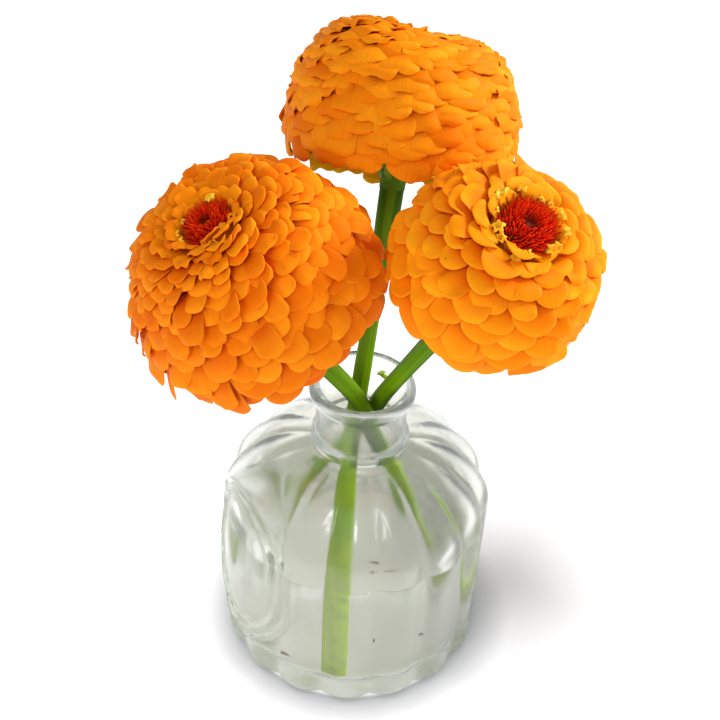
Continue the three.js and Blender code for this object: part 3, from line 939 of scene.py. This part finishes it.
def dome_place(disc, radius, turn):
    """A place on the dome and the way that a bristle there leans."""
    share = radius / disc["wide"]
    dome = DOME_TALL * math.cos(min(share, 1.1) * math.pi / 2)
    height = disc["rise"] + dome - PIT_DEEP * math.exp(-(share * PIT_NARROW) ** 2)
    lean = DOME_LEAN * share ** 1.5
    around = Vector((math.cos(turn), math.sin(turn), 0))
    return (around * radius + Vector((0, 0, height)),
            (around * math.sin(lean) + Vector((0, 0, math.cos(lean)))).normalized())


def add_floret(bm, layer, matrix, size, tone, chance):
    """A small tube that opens into five rolled lobes, with a hollow throat."""
    curl = chance.uniform(0.1, 0.7)
    made = bmesh.ops.create_circle(bm, cap_ends=True, radius=size * FLORET_TUBE,
                                   segments=FLORET_SIDES)["verts"]
    whole = list(made)
    for v in made:
        v[layer] = (1, 0, tone)
    edges = list({e for v in made for e in v.link_edges})
    for height, wide, tooth in [
            (1.2, 1.4, 0.0), (1.7, 2.3, 0.12), (1.7 - curl * 0.6, 3.1, 0.30),
            (1.9 - curl * 0.5, 3.0, 0.30), (1.95, 2.1, 0.12), (1.2, 0.9, 0.0)]:
        ring, edges = next_ring(bm, edges)
        for v in ring:
            turn = math.atan2(v.co.y, v.co.x)
            lobe = tooth * math.cos(FLORET_LOBES * turn)
            v.co = Vector((math.cos(turn), math.sin(turn), 0)) * size * FLORET_TUBE * wide
            v.co *= 1 + lobe
            v.co.z = size * (height - curl * lobe)
            v[layer] = (1, height / FLORET_TALL, tone)
        whole += ring
    bmesh.ops.holes_fill(bm, edges=edges)
    bmesh.ops.transform(bm, matrix=matrix, verts=whole)


for name, flower in FLOWERS.items():
    disc = DISCS[name]
    chance = random.Random(disc["seed"])
    _, high = cone_ends(flower)
    seat = head_matrix(flower) @ Matrix.Translation((0, 0, high))
    bm = bmesh.new()
    layer = bm.verts.layers.float_vector.new("bristle")
    dome = bmesh.ops.create_uvsphere(bm, u_segments=24, v_segments=12, radius=1)["verts"]
    for v in dome:
        v.co = (v.co.x * disc["wide"] * 0.93, v.co.y * disc["wide"] * 0.93,
                disc["rise"] - 0.6 + v.co.z * 2.2)
        v[layer] = (0.4, 0.0, 0.5)
    for k in range(disc["bristles"]):
        radius = disc["wide"] * math.sqrt((k + 0.5) / disc["bristles"])
        turn = k * GOLDEN
        point, lean = dome_place(disc, radius, turn)
        lean += Vector([chance.gauss(0, 0.14) for _ in range(3)])
        grown = smooth(radius / disc["wide"], 0.05, 0.5)
        long = (BRISTLE_SHORT + BRISTLE_MORE * grown) * chance.uniform(0.8, 1.25)
        tone = chance.random()
        matrix = (placed(point, lean.to_track_quat("Z", "Y"))
                  @ Matrix.Translation((0, 0, long / 2 - BRISTLE_SUNK)))
        cone = bmesh.ops.create_cone(
            bm, cap_ends=True, segments=BRISTLE_SIDES, radius1=BRISTLE_FOOT,
            radius2=BRISTLE_TIP, depth=long, matrix=matrix)["verts"]
        for v in cone:
            tall = (matrix.inverted() @ v.co).z / long + 0.5
            v[layer] = (radius / disc["wide"], tall, tone)
    bmesh.ops.transform(bm, matrix=seat, verts=bm.verts)
    bristles = finished(f"disc_bristles_{name}", bm, bristle_finish, sharp=50)
    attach(bristles, "root")
    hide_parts(f"disc_{name}")

    bm = bmesh.new()
    layer = bm.verts.layers.float_vector.new("bristle")
    for k in range(disc["florets"]):
        turn = (k + chance.uniform(-0.3, 0.3)) / disc["florets"] * math.tau
        point, lean = dome_place(disc, disc["wide"] * chance.uniform(0.88, 1.08), turn)
        lean += Vector([chance.gauss(0, 0.2) for _ in range(3)])
        matrix = (placed(point, lean.to_track_quat("Z", "Y"))
                  @ Matrix.Rotation(chance.uniform(0, math.tau), 4, "Z"))
        add_floret(bm, layer, matrix, disc["star"] * chance.uniform(0.75, 1.15),
                   chance.random(), chance)
    bmesh.ops.recalc_face_normals(bm, faces=bm.faces)
    bmesh.ops.transform(bm, matrix=seat, verts=bm.verts)
    florets = finished(f"disc_florets_{name}", bm, floret_finish, sharp=70)
    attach(florets, "root")

# ---- Calyx and receptacle ----
# Under each head sits a green cup of overlapping scales with dark edges, and inside the
# head the pale receptacle that the petals grow from.
CALYX_SCALES = [
    # how many, how far up the cup they start, and their width and length
    (8, 2.6, 5.4, 4.6), (9, 4.2, 5.8, 5.4), (10, 5.6, 5.8, 6.4)]
SCALE_THICK = 0.35

cup_finish = Finish("calyx_green", Roughness=0.6, Specular_IOR_Level=0.06)
across, along, tone = cup_finish.attribute("petal")
fibre = cup_finish.noise(cup_finish.vector(across * 8, along * 1.5, tone * 20), 1.0, 3)
green = cup_finish.mix(tone, (0.055, 0.15, 0.002), (0.10, 0.22, 0.004))
green = cup_finish.mix(fibre.step(0.4, 0.75) * 0.4, green, (0.30, 0.40, 0.09))
rim = (across.size() ** 5).larger(along ** 12)
cup_finish.set(Base_Color=cup_finish.mix(rim * 0.75, green, (0.05, 0.035, 0.012)),
               Roughness=0.5 + 0.25 * fibre)
cup_finish.bump(fibre, 0.0003, 0.5)

core_finish = Finish("receptacle_pale", Roughness=0.8)
pith = core_finish.noise(core_finish.place(), 300, 4)
core_finish.set(Base_Color=core_finish.mix(pith, (0.35, 0.40, 0.11), (0.42, 0.30, 0.05)))
core_finish.bump(pith, 0.0004, 0.6)

for name, flower in FLOWERS.items():
    chance = random.Random(flower["rows"])
    top, _ = cone_ends(flower)
    wide, end = cone_radius(flower, top) + 1.2, top - CALYX_DEPTH
    neck = STEM_RADIUS * (1 + flower["swell"] * 0.5)
    cup = [Vector(point) for point in [
        (neck, end), (neck + 0.3, end + 3), (wide * 0.62, end + 5.4),
        (wide * 0.95, top - 3), (wide * 0.98, top - FIT)]]
    bm = bmesh.new()
    layer = bm.verts.layers.float_vector.new("petal")
    profile, _ = through(cup, 9)
    turn_profile(bm, [Vector((0, end)), *profile, Vector((0, top - FIT))])
    bmesh.ops.remove_doubles(bm, verts=bm.verts, dist=WELD)
    bmesh.ops.recalc_face_normals(bm, faces=bm.faces)
    scales = bmesh.new()
    edge_layer = scales.verts.layers.float_vector.new("petal")
    line, length = through(cup, PATH_STEPS + 1)
    for count, start, size, long in CALYX_SCALES:
        first = min(int(start / length * PATH_STEPS), 28)
        last = min(int((start + long) / length * PATH_STEPS), PATH_STEPS)
        for k in range(count):
            turn = (k + start + chance.uniform(-0.15, 0.15)) / count * math.tau
            path = [line[first], line[(first + last) // 2] + Vector((0.35, 0)),
                    line[last] + Vector((0.75 + chance.uniform(0, 0.5), 0.2))]
            add_petal(scales, edge_layer, path, turn, dict(
                wide=size * (wide / 9), tip=0.55, face=-1, bend=0.4, notch=0, cup=0.45,
                hook=-0.1, ruffle=0.08, phase=k, roll=math.radians(4), yaw=0, fold=0,
                fold_side=1, tone=chance.random()))
    bmesh.ops.solidify(scales, geom=scales.faces[:], thickness=SCALE_THICK)
    joined = bpy.data.meshes.new("scales")
    scales.to_mesh(joined)
    scales.free()
    bm.from_mesh(joined)
    bpy.data.meshes.remove(joined)
    bmesh.ops.transform(bm, matrix=head_matrix(flower), verts=bm.verts)
    calyx = finished(f"calyx_scales_{name}", bm, cup_finish, sharp=60)
    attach(calyx, "root")
    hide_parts(f"calyx_{name}")
    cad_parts[f"receptacle_{name}"].material_slots[0].material = core_finish.material
